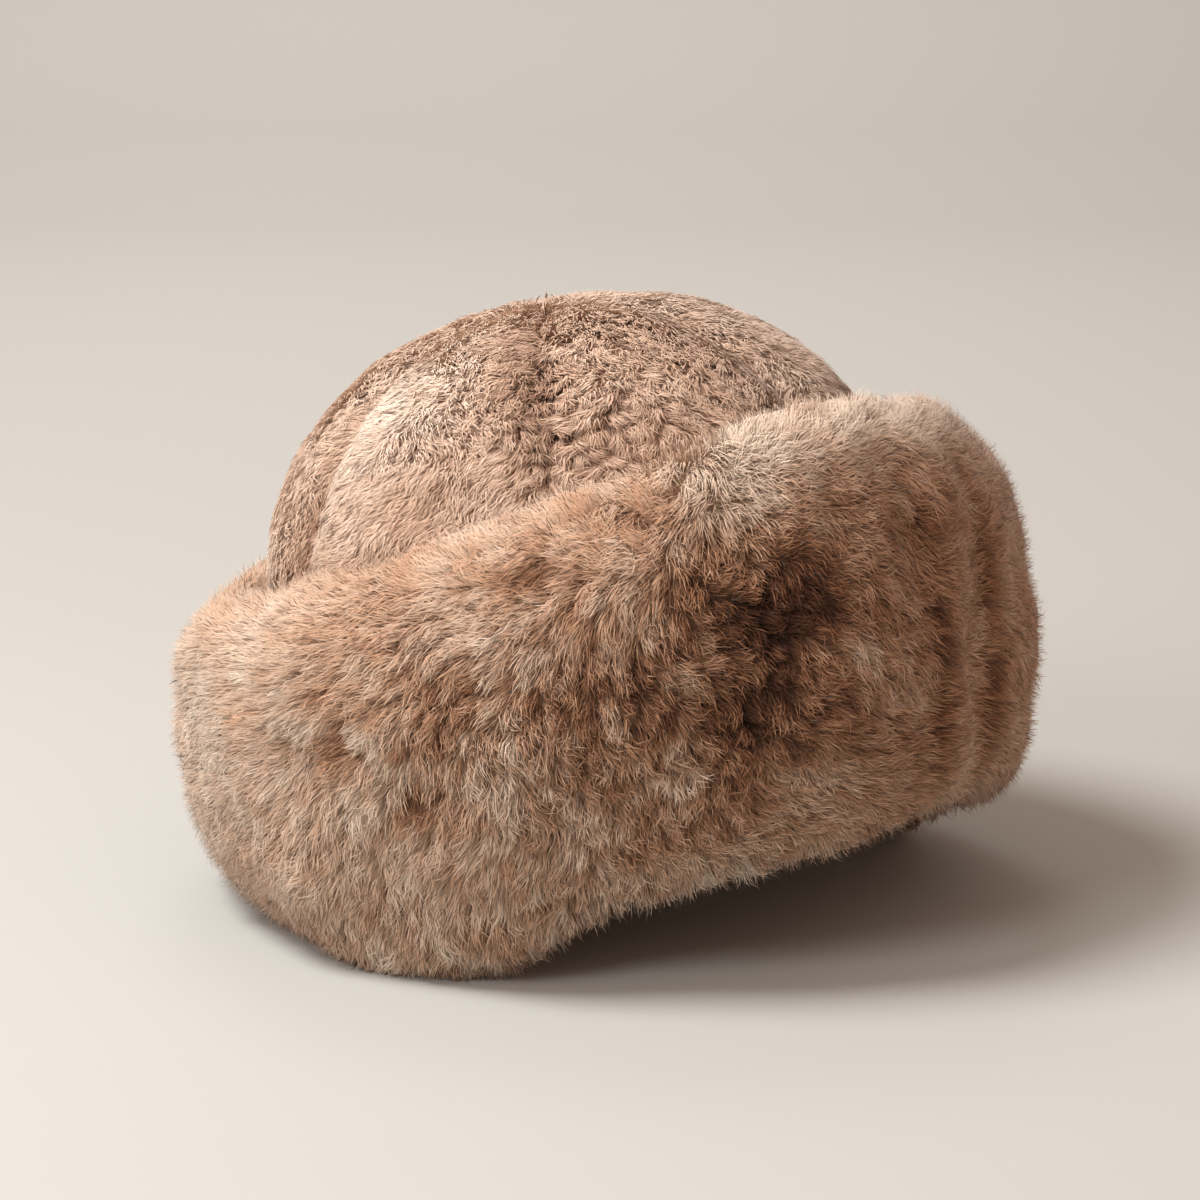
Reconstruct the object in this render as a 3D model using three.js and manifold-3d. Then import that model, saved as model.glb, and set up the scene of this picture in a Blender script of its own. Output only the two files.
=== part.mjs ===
// A shearling fur hat that lies by itself on a flat surface. Millimetres, +Z up.
// The hat leans to its left and a little back. The left and the back of its cuff rest
// on the surface, and the cuff's front right lower edge is lifted.
// The crown is six gores of sheepskin, skin side in and short fleece out. The cuff is
// one strip of longer fur, turned up all round. Both carry locks fused to a backing.

import * as THREE from 'three';
import { mergeVertices } from 'three/addons/utils/BufferGeometryUtils.js';
import ManifoldModule from 'manifold-3d';

// Head opening and crown, measured square to the crown's own upright axis
const HEAD_LENGTH = 200;
const HEAD_WIDTH = 176;
const SKIN_THICKNESS = 2;
const CROWN_FLEECE = 10;
const CROWN_DEPTH = 184;
const DOME_HEIGHT = 94;

// Gores
const GORE_COUNT = 6;
const FIRST_SEAM_ANGLE = 28;
const SEAM_FURROW_DEPTH = 4.5;
const SEAM_FURROW_WIDTH = 8;
const GORE_SWELL = 2;
const SWELL_FADE = 1.5;

// How the crown leans, and where the middle of its rim is, from the hat's own middle
const LEAN_LEFT = 9;
const LEAN_BACK = 4;
const RIM_CENTRE = { x: 9.5, y: -2.3, z: 30 };

// Gaps between pieces that touch
const PIECE_GAP = 0.3;

// The cuff's upright sections, by the angle round the hat from +X towards +Y.
// The front is at 270. All radii are from the hat's own middle.
// low: height of the lower edge, below 0 where the fur is pressed flat on the surface
// footRadius: radius of the lower edge
// bulge, bulgeRadius: height and radius of the widest place
// crest, crestRadius: height and radius of the upper edge
// flow: the way the fur lies, in degrees from straight down towards a larger angle
const CUFF_SECTIONS = [
  { angle: 0, low: 34, footRadius: 131, bulge: 72, bulgeRadius: 153, crest: 173, crestRadius: 112, flow: 80 },
  { angle: 30, low: 2, footRadius: 120, bulge: 74, bulgeRadius: 145, crest: 161, crestRadius: 114, flow: 65 },
  { angle: 60, low: -4, footRadius: 113, bulge: 70, bulgeRadius: 138, crest: 148, crestRadius: 114, flow: 40 },
  { angle: 90, low: -4, footRadius: 108, bulge: 66, bulgeRadius: 133, crest: 136, crestRadius: 115, flow: 0 },
  { angle: 120, low: -4, footRadius: 109, bulge: 66, bulgeRadius: 137, crest: 122, crestRadius: 119, flow: -35 },
  { angle: 150, low: -4, footRadius: 108, bulge: 70, bulgeRadius: 144, crest: 111, crestRadius: 123, flow: -50 },
  { angle: 180, low: -4, footRadius: 109, bulge: 76, bulgeRadius: 149, crest: 105, crestRadius: 126, flow: -50 },
  { angle: 210, low: -4, footRadius: 107, bulge: 76, bulgeRadius: 146, crest: 122, crestRadius: 119, flow: -45 },
  { angle: 240, low: -4, footRadius: 104, bulge: 80, bulgeRadius: 138, crest: 147, crestRadius: 107, flow: -20 },
  { angle: 270, low: 25, footRadius: 108, bulge: 90, bulgeRadius: 135, crest: 169, crestRadius: 99, flow: 10 },
  { angle: 300, low: 43, footRadius: 120, bulge: 96, bulgeRadius: 141, crest: 187, crestRadius: 101, flow: 45 },
  { angle: 330, low: 50, footRadius: 130, bulge: 90, bulgeRadius: 150, crest: 188, crestRadius: 107, flow: 75 },
];
const CUFF_ROUNDNESS = 2.1;

// The cuff's hidden side: how far in and down it runs from its crest, and how far inside
// and above the crown's rim it starts
const CUFF_INNER_RADIUS = 78;
const CREST_DROP = 12;
const RIM_TUCK_IN = 5;
const RIM_TUCK_UP = 4;

// Upright grooves in the cuff: the seam of its two ends, and one fold beside it
const CUFF_GROOVES = [
  { name: 'seam', angle: 332, depth: 6, halfWidth: 4.5 },
  { name: 'fold', angle: 319, depth: 4, halfWidth: 4.5 },
];

// Locks of fur. length runs along the surface, width and thickness are at the belly, lift
// is how far the tip stands off, and sink is how deep the root's ridge lies.
const CUFF_LOCK = { length: 44, width: 25, thickness: 3, lift: 1.5, sink: 3 };
const CROWN_LOCK = { length: 26, width: 16, thickness: 2, lift: 0.8, sink: 2 };

// A lock's shape: where its belly is along it, how wide its root is for its width, and
// how deep the edges of its root and belly lie for its sink
const LOCK_SHAPE = { belly: 0.42, rootWidth: 0.6, rootEdge: 2, bellyEdge: 0.4 };

// How the locks of the crown and of the cuff vary: degrees of turn up and down, degrees
// of heading each way, millimetres of bend, and size from smallest up by a spread
const CROWN_VARIETY = { turn: 8, sway: 40, bend: 8, smallest: 0.85, spread: 0.4 };
const CUFF_VARIETY = { turn: 12, sway: 20, bend: 12, smallest: 0.85, spread: 0.3 };
const LOCK_STAGGER = 0.6;
const CROWN_SEED = 7;
const CUFF_SEED = 11;

// The least height of the crown's locks above the cuff's crest
const LOCK_CLEARANCE = 8;

// How finely the surfaces are divided
const CROWN_STEPS_ROUND = 60;
const CROWN_WALL_ROWS = 2;
const CROWN_DOME_ROWS = 9;
const LINING_DOME_ROWS = 6;
const LINING_STEPS_ROUND = 24;
const CUFF_STEPS_ROUND = 48;
const CUFF_OUTLINE_TURNS = [-90, -65, -40, -20, 0, 22, 44, 62, 78, 90];
const DOME_TOP_TURN = 88.5;

// Larger than any part of the hat, and heights below the rim where cuts start
const REACH = 400;
const HOLLOW_BELOW_RIM = -10;
const CUFF_CUT_BELOW_RIM = -90;

// Colours of the fur
const CROWN_COLOUR = 0xa58a76;
const CUFF_COLOUR = 0x96755a;
const FUR_ROUGHNESS = 0.95;

const FULL_TURN = 360;
const MERGE_DISTANCE = 1e-4;
const radians = THREE.MathUtils.degToRad;
const wasm = await ManifoldModule();
wasm.setup();

// Solids

function toSolid(geometry) {
  const bare = geometry.clone();
  bare.deleteAttribute('normal');
  bare.deleteAttribute('uv');
  const merged = mergeVertices(bare, MERGE_DISTANCE);
  return new wasm.Manifold(new wasm.Mesh({
    numProp: 3,
    vertProperties: new Float32Array(merged.attributes.position.array),
    triVerts: new Uint32Array(merged.index.array),
  }));
}

function toGeometry(solid) {
  const mesh = solid.getMesh();
  const geometry = new THREE.BufferGeometry();
  geometry.setAttribute('position', new THREE.BufferAttribute(mesh.vertProperties, 3));
  geometry.setIndex(new THREE.BufferAttribute(mesh.triVerts, 1));
  return geometry;
}

function joinAll(solids) {
  return solids.reduce((whole, solid) => whole.add(solid));
}

// One closed skin over rows of points. Each row goes round once. The first and the last
// row are closed with a fan, or meet each other when the rows go round as well.
function closedSkin(rows, rowsGoRound) {
  const steps = rows[0].length;
  const points = rows.flat();
  const faces = [];
  const bands = rowsGoRound ? rows.length : rows.length - 1;
  for (let row = 0; row < bands; row += 1) {
    for (let step = 0; step < steps; step += 1) {
      const nextRow = (row + 1) % rows.length;
      const nextStep = (step + 1) % steps;
      const a = row * steps + step;
      const b = row * steps + nextStep;
      const c = nextRow * steps + nextStep;
      const d = nextRow * steps + step;
      faces.push(a, b, c, a, c, d);
    }
  }
  if (!rowsGoRound) {
    for (const last of [false, true]) {
      const start = last ? (rows.length - 1) * steps : 0;
      const middle = new THREE.Vector3();
      const ring = points.slice(start, start + steps);
      ring.forEach((point) => middle.addScaledVector(point, 1 / steps));
      const hub = points.push(middle) - 1;
      for (let step = 0; step < steps; step += 1) {
        const here = start + step;
        const next = start + ((step + 1) % steps);
        faces.push(hub, last ? here : next, last ? next : here);
      }
    }
  }
  const geometry = new THREE.BufferGeometry().setFromPoints(points);
  geometry.setIndex(faces);
  return geometry;
}

// Even, repeatable scatter between 0 and 1, by a linear congruential rule
const SCATTER_RULE = { factor: 1664525, step: 1013904223, range: 2 ** 32 };

function makeScatter(seed) {
  let state = seed;
  return () => {
    state = (state * SCATTER_RULE.factor + SCATTER_RULE.step) % SCATTER_RULE.range;
    return state / SCATTER_RULE.range;
  };
}

// Crown, in its own frame: the middle of the rim at the origin, the crown upwards

const GORE_ANGLE = FULL_TURN / GORE_COUNT;
const WALL_HEIGHT = CROWN_DEPTH - DOME_HEIGHT;
const CROWN_WALL = SKIN_THICKNESS + CROWN_FLEECE;
const crownPlace = new THREE.Matrix4().compose(
  new THREE.Vector3(RIM_CENTRE.x, RIM_CENTRE.y, RIM_CENTRE.z),
  new THREE.Quaternion().setFromEuler(new THREE.Euler(-radians(LEAN_BACK), -radians(LEAN_LEFT), 0)),
  new THREE.Vector3(1, 1, 1),
);

// An angle round the crown, counted from the first seam
function seamTurn(angle) {
  return THREE.MathUtils.euclideanModulo(angle - FIRST_SEAM_ANGLE, FULL_TURN);
}

// How far the fleece stands above or below the plain dome
function crownRelief(angle, spread) {
  const place = seamTurn(angle) % GORE_ANGLE;
  const toSeam = Math.min(place, GORE_ANGLE - place);
  const distance = radians(toSeam) * spread * (HEAD_LENGTH / 2);
  const furrow = SEAM_FURROW_DEPTH * Math.exp(-((distance / SEAM_FURROW_WIDTH) ** 2));
  const swell = GORE_SWELL * Math.sin((Math.PI * place) / GORE_ANGLE) * Math.min(1, spread * SWELL_FADE);
  return swell - furrow;
}

// A point on the crown. turn is 0 at the foot of the dome and 90 at its top, and height
// is that of the dome's foot.
function crownPoint(angle, turn, height, outset, plain) {
  const spread = Math.cos(radians(turn));
  const rise = Math.sin(radians(turn));
  const relief = plain ? 0 : crownRelief(angle, spread);
  const out = outset + relief;
  return new THREE.Vector3(
    (HEAD_LENGTH / 2 + out) * spread * Math.cos(radians(angle)),
    (HEAD_WIDTH / 2 + out) * spread * Math.sin(radians(angle)),
    height + (DOME_HEIGHT - CROWN_WALL + out) * rise,
  );
}

// The fleece's surface, which runs straight down below the dome's foot
function fleecePoint(angle, turn) {
  const below = Math.min(0, turn) * radians(DOME_HEIGHT);
  const onDome = THREE.MathUtils.clamp(turn, 0, DOME_TOP_TURN);
  return crownPoint(angle, onDome, WALL_HEIGHT + below, CROWN_WALL, false);
}

function crownForm(steps, domeRows, bottom, outset, plain) {
  const rows = [];
  const ring = (turn, height) => {
    const row = [];
    for (let step = 0; step < steps; step += 1) {
      const angle = FIRST_SEAM_ANGLE + (FULL_TURN * step) / steps;
      row.push(crownPoint(angle, turn, height, outset, plain));
    }
    rows.push(row);
  };
  for (let row = 0; row < CROWN_WALL_ROWS; row += 1) {
    ring(0, bottom + ((WALL_HEIGHT - bottom) * row) / CROWN_WALL_ROWS);
  }
  for (let row = 0; row < domeRows; row += 1) {
    ring((90 * row) / domeRows, WALL_HEIGHT);
  }
  ring(DOME_TOP_TURN, WALL_HEIGHT);
  return closedSkin(rows, false);
}

// Locks

// A surface's frame at a place, from a function of two angles that gives its points
function surfaceFrame(pointAt, angle, turn) {
  const step = 0.5;
  const alongAngle = pointAt(angle + step, turn).sub(pointAt(angle - step, turn));
  const alongTurn = pointAt(angle, turn + step).sub(pointAt(angle, turn - step));
  const outward = new THREE.Vector3().crossVectors(alongAngle, alongTurn).normalize();
  return {
    point: pointAt(angle, turn),
    outward,
    perAngle: alongAngle.length() / (2 * step),
    perTurn: alongTurn.length() / (2 * step),
  };
}

// One lock: a ridged tongue that starts below the surface, follows it the way the fur
// lies and ends in a point just above it. heading is 0 straight down and 90 towards a
// larger angle.
function lockSkin(pointAt, angle, turn, heading, size, bend) {
  const { belly, rootWidth, rootEdge, bellyEdge } = LOCK_SHAPE;
  const start = surfaceFrame(pointAt, angle, turn);
  const down = Math.cos(radians(heading));
  const round = Math.sin(radians(heading));
  const place = (share, sideways, height) => {
    const forward = size.length * share;
    const aside = bend * share * share + sideways;
    const angleThere = angle + (round * forward + down * aside) / start.perAngle;
    const turnThere = turn + (-down * forward + round * aside) / start.perTurn;
    const there = surfaceFrame(pointAt, angleThere, turnThere);
    return there.point.addScaledVector(there.outward, height);
  };
  const ring = (share, halfWidth, base, ridge) => [
    place(share, -halfWidth, base),
    place(share, 0, ridge),
    place(share, halfWidth, base),
  ];
  const points = [
    ...ring(0, (size.width / 2) * rootWidth, -size.sink * rootEdge, -size.sink),
    ...ring(belly, size.width / 2, -size.sink * bellyEdge, size.lift + size.thickness),
    place(1, 0, size.lift),
  ];
  const geometry = new THREE.BufferGeometry().setFromPoints(points);
  geometry.setIndex([
    0, 1, 2,
    0, 4, 1, 0, 3, 4,
    1, 5, 2, 1, 4, 5,
    2, 3, 0, 2, 5, 3,
    3, 6, 4, 4, 6, 5, 5, 6, 3,
  ]);
  return geometry;
}

// A longer or shorter lock of the same thickness
function sized(size, factor) {
  return { ...size, length: size.length * factor, width: size.width * factor };
}

// Rows of short locks on the dome. They lie downwards, thinned out towards the top.
const CROWN_LOCK_ROWS = [
  { turn: 6, count: 20 },
  { turn: 22, count: 20 },
  { turn: 38, count: 18 },
  { turn: 54, count: 12 },
  { turn: 71, count: 7 },
];

// Whether a lock of the crown stays above the cuff's crest all along
function clearsCrest(skin) {
  const places = skin.clone().applyMatrix4(crownPlace).attributes.position;
  for (let index = 0; index < places.count; index += 1) {
    const angle = THREE.MathUtils.radToDeg(Math.atan2(places.getY(index), places.getX(index)));
    if (places.getZ(index) < cuffSection(angle).crest + LOCK_CLEARANCE) {
      return false;
    }
  }
  return true;
}

function crownLocks() {
  const scatter = makeScatter(CROWN_SEED);
  const vary = CROWN_VARIETY;
  const locks = [];
  for (const row of CROWN_LOCK_ROWS) {
    for (let index = 0; index < row.count; index += 1) {
      const angle = (FULL_TURN * (index + scatter() * LOCK_STAGGER)) / row.count;
      const turn = row.turn + (scatter() - 0.5) * vary.turn;
      const heading = (scatter() * 2 - 1) * vary.sway;
      const bend = (scatter() - 0.5) * vary.bend;
      const size = sized(CROWN_LOCK, vary.smallest + scatter() * vary.spread);
      const gore = Math.floor(seamTurn(angle) / GORE_ANGLE);
      const skin = lockSkin(fleecePoint, angle, turn, heading, size, bend);
      if (clearsCrest(skin)) {
        locks.push({ gore, skin });
      }
    }
  }
  return locks;
}

// Cuff

// The section at any angle, worked out smoothly from the four nearest rows of the table
function cuffSection(angle) {
  const count = CUFF_SECTIONS.length;
  const place = (THREE.MathUtils.euclideanModulo(angle, FULL_TURN) * count) / FULL_TURN;
  const first = Math.floor(place) % count;
  const t = place - Math.floor(place);
  const rows = [-1, 0, 1, 2].map((shift) => CUFF_SECTIONS[(first + shift + count) % count]);
  const smooth = (key) => {
    const [a, b, c, d] = rows.map((row) => row[key]);
    const slopeB = (c - a) / 2;
    const slopeC = (d - b) / 2;
    const t2 = t * t;
    const t3 = t2 * t;
    return (2 * t3 - 3 * t2 + 1) * b + (t3 - 2 * t2 + t) * slopeB
      + (3 * t2 - 2 * t3) * c + (t3 - t2) * slopeC;
  };
  const section = {};
  for (const key of ['low', 'footRadius', 'bulge', 'bulgeRadius', 'crest', 'crestRadius', 'flow']) {
    section[key] = smooth(key);
  }
  return section;
}

function grooveDepth(angle) {
  let depth = 0;
  for (const groove of CUFF_GROOVES) {
    const turned = THREE.MathUtils.euclideanModulo(angle - groove.angle + 180, FULL_TURN) - 180;
    depth += groove.depth * Math.exp(-((turned / groove.halfWidth) ** 2));
  }
  return depth;
}

function polarPoint(radius, angle, height) {
  return new THREE.Vector3(radius * Math.cos(radians(angle)), radius * Math.sin(radians(angle)), height);
}

// A point of the crown's rim in the hat's frame
function rimPoint(angle) {
  return crownPoint(angle, 0, 0, CROWN_WALL, true).applyMatrix4(crownPlace);
}

// A point on the cuff's fur. turn is -90 at the lower edge, 0 at the bulge, 90 at the crest.
function cuffPoint(angle, anyTurn) {
  const turn = THREE.MathUtils.clamp(anyTurn, -90, 90);
  const section = cuffSection(angle);
  const power = 2 / CUFF_ROUNDNESS;
  const across = Math.abs(Math.cos(radians(turn))) ** power;
  const up = Math.abs(Math.sin(radians(turn))) ** power;
  const edgeRadius = turn < 0 ? section.footRadius : section.crestRadius;
  const edgeHeight = turn < 0 ? section.low : section.crest;
  const bulgeRadius = section.bulgeRadius - grooveDepth(angle);
  const radius = edgeRadius + (bulgeRadius - edgeRadius) * across;
  return polarPoint(radius, angle, section.bulge + (edgeHeight - section.bulge) * up);
}

// The cuff without its locks: a ring with the fur's outer form, as thick as the fur is
function cuffForm() {
  const rows = [];
  const ring = (pointAt) => {
    const row = [];
    for (let step = 0; step < CUFF_STEPS_ROUND; step += 1) {
      row.push(pointAt((FULL_TURN * step) / CUFF_STEPS_ROUND));
    }
    rows.push(row);
  };
  ring((angle) => {
    const rim = rimPoint(angle);
    const inner = Math.hypot(rim.x, rim.y) - RIM_TUCK_IN;
    return polarPoint(inner, angle, rim.z + RIM_TUCK_UP);
  });
  for (const turn of CUFF_OUTLINE_TURNS) {
    ring((angle) => cuffPoint(angle, turn));
  }
  ring((angle) => polarPoint(CUFF_INNER_RADIUS, angle, cuffSection(angle).crest - CREST_DROP));
  return closedSkin(rows, true);
}

// Rows of locks on the cuff. Below the bulge the fur lies down and round the hat, and
// towards the crest it turns up: turnedUp is 1 where it points straight up.
const CUFF_LOCK_ROWS = [
  { turn: -36, count: 24, turnedUp: 0, factor: 0.9 },
  { turn: -6, count: 26, turnedUp: 0, factor: 1 },
  { turn: 24, count: 26, turnedUp: 0.15, factor: 1 },
  { turn: 52, count: 24, turnedUp: 0.7, factor: 0.9 },
];

function cuffLocks() {
  const scatter = makeScatter(CUFF_SEED);
  const vary = CUFF_VARIETY;
  const locks = [];
  for (const row of CUFF_LOCK_ROWS) {
    for (let index = 0; index < row.count; index += 1) {
      const angle = (FULL_TURN * (index + scatter() * LOCK_STAGGER)) / row.count;
      const turn = row.turn + (scatter() - 0.5) * vary.turn;
      const flow = cuffSection(angle).flow;
      const upwards = flow < 0 ? -180 : 180;
      const sway = (scatter() * 2 - 1) * vary.sway;
      const heading = flow + (upwards - flow) * row.turnedUp + sway;
      const bend = (scatter() - 0.5) * vary.bend;
      const size = sized(CUFF_LOCK, row.factor * (vary.smallest + scatter() * vary.spread));
      locks.push(lockSkin(cuffPoint, angle, turn, heading, size, bend));
    }
  }
  return locks;
}

// Building the solids

// A wedge that holds one gore, drawn in by half the gap on both sides
function goreWedge(index) {
  const start = radians(FIRST_SEAM_ANGLE + index * GORE_ANGLE);
  const end = radians(FIRST_SEAM_ANGLE + (index + 1) * GORE_ANGLE);
  const middle = (start + end) / 2;
  const tipOffset = PIECE_GAP / 2 / Math.sin(radians(GORE_ANGLE / 2));
  const tipX = tipOffset * Math.cos(middle);
  const tipY = tipOffset * Math.sin(middle);
  const outline = new THREE.Shape();
  outline.moveTo(tipX, tipY);
  outline.lineTo(tipX + REACH * Math.cos(start), tipY + REACH * Math.sin(start));
  outline.lineTo(tipX + REACH * Math.cos(end), tipY + REACH * Math.sin(end));
  outline.closePath();
  const wedge = new THREE.ExtrudeGeometry(outline, { depth: 2 * REACH, bevelEnabled: false });
  wedge.translate(0, 0, -REACH);
  return toSolid(wedge);
}

const fleece = crownForm(CROWN_STEPS_ROUND, CROWN_DOME_ROWS, 0, CROWN_WALL, false);
const headHollow = toSolid(crownForm(LINING_STEPS_ROUND, LINING_DOME_ROWS, HOLLOW_BELOW_RIM, 0, true));

function goreSolid(index) {
  const own = crownLocks().filter((lock) => lock.gore === index);
  const skins = [fleece, ...own.map((lock) => lock.skin)];
  return joinAll(skins.map(toSolid)).intersect(goreWedge(index)).subtract(headHollow);
}

// The cuff stops short of the crown, and is flat where it rests
function cuffSolid() {
  const outset = CROWN_WALL + PIECE_GAP;
  const inside = crownForm(CROWN_STEPS_ROUND, CROWN_DOME_ROWS, CUFF_CUT_BELOW_RIM, outset, false);
  inside.applyMatrix4(crownPlace);
  const above = new THREE.BoxGeometry(2 * REACH, 2 * REACH, REACH);
  above.translate(0, 0, REACH / 2);
  const skins = [cuffForm(), ...cuffLocks()];
  return joinAll(skins.map(toSolid)).subtract(toSolid(inside)).intersect(toSolid(above));
}

// The hat as named meshes

const hat = new THREE.Group();
const crown = new THREE.Group();
crown.applyMatrix4(crownPlace);
hat.add(crown);

function addPiece(group, name, solid, colour) {
  const material = new THREE.MeshStandardMaterial({ color: colour, roughness: FUR_ROUGHNESS, metalness: 0 });
  const mesh = new THREE.Mesh(toGeometry(solid), material);
  mesh.name = name;
  group.add(mesh);
}

for (let index = 0; index < GORE_COUNT; index += 1) {
  addPiece(crown, `crown_gore_${index + 1}`, goreSolid(index), CROWN_COLOUR);
}
addPiece(hat, 'fur_cuff', cuffSolid(), CUFF_COLOUR);

// The origin is under the middle of the hat, on the surface it lies on
hat.updateMatrixWorld(true);
const whole = new THREE.Box3().setFromObject(hat, true);
const middle = whole.getCenter(new THREE.Vector3());
hat.position.set(-middle.x, -middle.y, -whole.min.z);
hat.updateMatrixWorld(true);

export default hat;
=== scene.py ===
"""A shearling fur hat, lying on a pale floor. Its crown is six gores of short curly
fleece, and a deep cuff of longer soft fur is turned up all round it.

Sizes are in millimetres until a mesh is made. Every strand of fur is a narrow tapering
ribbon, and the strands of one piece are one joined mesh. Guard hairs are long and bend
over, and down is short and straight. The strands' normals follow the coat and not each
ribbon, which shades them as soft fur.

The last whole number given to noise or hashed is a seed."""

import math
from collections import namedtuple

import bpy
import numpy as np
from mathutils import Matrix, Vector


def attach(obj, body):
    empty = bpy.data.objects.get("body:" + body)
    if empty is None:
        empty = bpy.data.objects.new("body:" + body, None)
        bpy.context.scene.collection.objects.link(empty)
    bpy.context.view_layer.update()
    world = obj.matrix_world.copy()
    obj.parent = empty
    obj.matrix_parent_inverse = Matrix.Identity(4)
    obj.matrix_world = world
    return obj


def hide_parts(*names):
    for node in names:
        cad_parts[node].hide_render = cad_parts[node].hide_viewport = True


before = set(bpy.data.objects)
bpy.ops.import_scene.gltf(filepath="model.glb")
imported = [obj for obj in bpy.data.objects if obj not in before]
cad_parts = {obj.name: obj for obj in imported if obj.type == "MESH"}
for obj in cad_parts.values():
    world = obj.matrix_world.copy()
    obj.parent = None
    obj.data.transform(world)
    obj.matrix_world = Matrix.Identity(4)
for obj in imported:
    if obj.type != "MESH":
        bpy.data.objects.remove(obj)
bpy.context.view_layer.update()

MM = 0.001
FULL_TURN = 360.0

# Crown, as the solids have it
HEAD_LENGTH = 200.0
HEAD_WIDTH = 176.0
CROWN_WALL = 12.0
CROWN_DEPTH = 184.0
DOME_HEIGHT = 94.0
WALL_HEIGHT = CROWN_DEPTH - DOME_HEIGHT
GORE_COUNT = 6
GORE_ANGLE = FULL_TURN / GORE_COUNT
FIRST_SEAM_ANGLE = 28.0
SEAM_FURROW_DEPTH = 4.5
SEAM_FURROW_WIDTH = 8.0
GORE_SWELL = 2.0
SWELL_FADE = 1.5
SEAM_GAP = 0.3
LEAN_LEFT = 9.0
LEAN_BACK = 4.0
RIM_CENTRE = np.array([9.5, -2.3, 30.0])

# Where the middle of the cuff's sections lies in the frame
HAT_MIDDLE = np.array([-2.96, 1.18, 0.0])

# The cuff's upright sections, by the angle round the hat. The front is at 270.
# low, foot: height and radius of the lower edge; bulge, wide: of the widest place
# crest, top: of the upper edge; flow: the way the fur lies, from straight down
CUFF_COLUMNS = ("angle", "low", "foot", "bulge", "wide", "crest", "top", "flow")
CUFF_SECTIONS = np.array([
    (0, 34, 131, 72, 153, 173, 112, 80),
    (30, 2, 120, 74, 145, 161, 114, 65),
    (60, -4, 113, 70, 138, 148, 114, 40),
    (90, -4, 108, 66, 133, 136, 115, 0),
    (120, -4, 109, 66, 137, 122, 119, -35),
    (150, -4, 108, 70, 144, 111, 123, -50),
    (180, -4, 109, 76, 149, 105, 126, -50),
    (210, -4, 107, 76, 146, 122, 119, -45),
    (240, -4, 104, 80, 138, 147, 107, -20),
    (270, 25, 108, 90, 135, 169, 99, 10),
    (300, 43, 120, 96, 141, 187, 101, 45),
    (330, 50, 130, 90, 150, 188, 107, 75),
], float)
CUFF_ROUNDNESS = 2.1
CUFF_INNER_RADIUS = 78.0
CREST_DROP = 12.0
RIM_INSET = 3.0
RIM_LIFT = 4.0

# Upright grooves in the cuff: the seam of its two ends, and one fold beside it. Each has
# its angle, its depth and half its width in degrees.
CUFF_GROOVES = ((332.0, 6.0, 4.5), (319.0, 4.0, 4.5))

# Where each coat starts and ends, as a turn, and the radius that it is unrolled at
EDGE_TURN = 35.0
CUFF_LOW_TURN = -90 - EDGE_TURN
CUFF_HIGH_TURN = 90 + EDGE_TURN * 0.8
CUFF_MEAN_RADIUS = 140.0
CROWN_RIM_TURN = -WALL_HEIGHT / math.radians(DOME_HEIGHT)
CROWN_LOW_TURN = -12.0
CROWN_HIGH_TURN = 89.0
CROWN_MEAN_RADIUS = 90.0

DENSITY = 1.0
WIDER = 1.0


# Numbers that repeat from run to run

HASH_START = 2166136261
HASH_FACTORS = (np.uint64(16777619), np.uint64(2246822519))
HASH_SHIFTS = (np.uint64(15), np.uint64(13))
LOW_BITS = np.uint64(0xFFFFFFFF)
HASH_RANGE = 4294967296.0


def hashed(*keys):
    """An even scatter between 0 and 1 for each set of whole numbers."""
    state = np.full(np.broadcast(*keys).shape, HASH_START, np.uint64)
    for key in keys:
        state = state ^ (np.asarray(key).astype(np.int64).astype(np.uint64) & LOW_BITS)
        for factor, shift in zip(HASH_FACTORS, HASH_SHIFTS):
            state = (state * factor) & LOW_BITS
            state = state ^ (state >> shift)
    return state.astype(float) / HASH_RANGE


def noise(points, size, seed):
    """Smooth noise between -1 and 1 that varies over about size millimetres."""
    scaled = points / size
    cell = np.floor(scaled)
    part = scaled - cell
    ease = part * part * (3 - 2 * part)
    total = np.zeros(len(points))
    for corner in range(8):
        step = np.array([corner & 1, corner >> 1 & 1, corner >> 2 & 1])
        weight = np.prod(np.where(step, ease, 1 - ease), axis=1)
        at = cell + step
        total += weight * hashed(at[:, 0], at[:, 1], at[:, 2], seed)
    return total * 2 - 1


def unit(vectors):
    return vectors / np.maximum(np.linalg.norm(vectors, axis=-1, keepdims=True), 1e-9)


def bell(distance, width):
    return np.exp(-(distance / width) ** 2)


def fade(value, start, over):
    """0 up to the start, and then rising to 1."""
    return np.clip((value - start) / over, 0, 1)


def turned(angle, start):
    """How far one angle is past another, between -180 and 180."""
    return np.mod(angle - start + 180, FULL_TURN) - 180


# Surfaces of the two parts

def lean_matrix():
    back = math.radians(-LEAN_BACK)
    left = math.radians(-LEAN_LEFT)
    about_x = np.array([
        (1, 0, 0),
        (0, math.cos(back), -math.sin(back)),
        (0, math.sin(back), math.cos(back)),
    ])
    about_y = np.array([
        (math.cos(left), 0, math.sin(left)),
        (0, 1, 0),
        (-math.sin(left), 0, math.cos(left)),
    ])
    return about_x @ about_y


LEAN = lean_matrix()


def dome_spread(turn):
    """How wide the crown is at a turn, as a share of its foot."""
    return np.cos(np.radians(np.clip(turn, 0, 90)))


def seam_distance(angle, turn):
    """Millimetres along the fleece to the nearest seam."""
    place = np.mod(angle - FIRST_SEAM_ANGLE, GORE_ANGLE)
    to_seam = np.minimum(place, GORE_ANGLE - place)
    return np.radians(to_seam) * dome_spread(turn) * HEAD_LENGTH / 2


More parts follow.
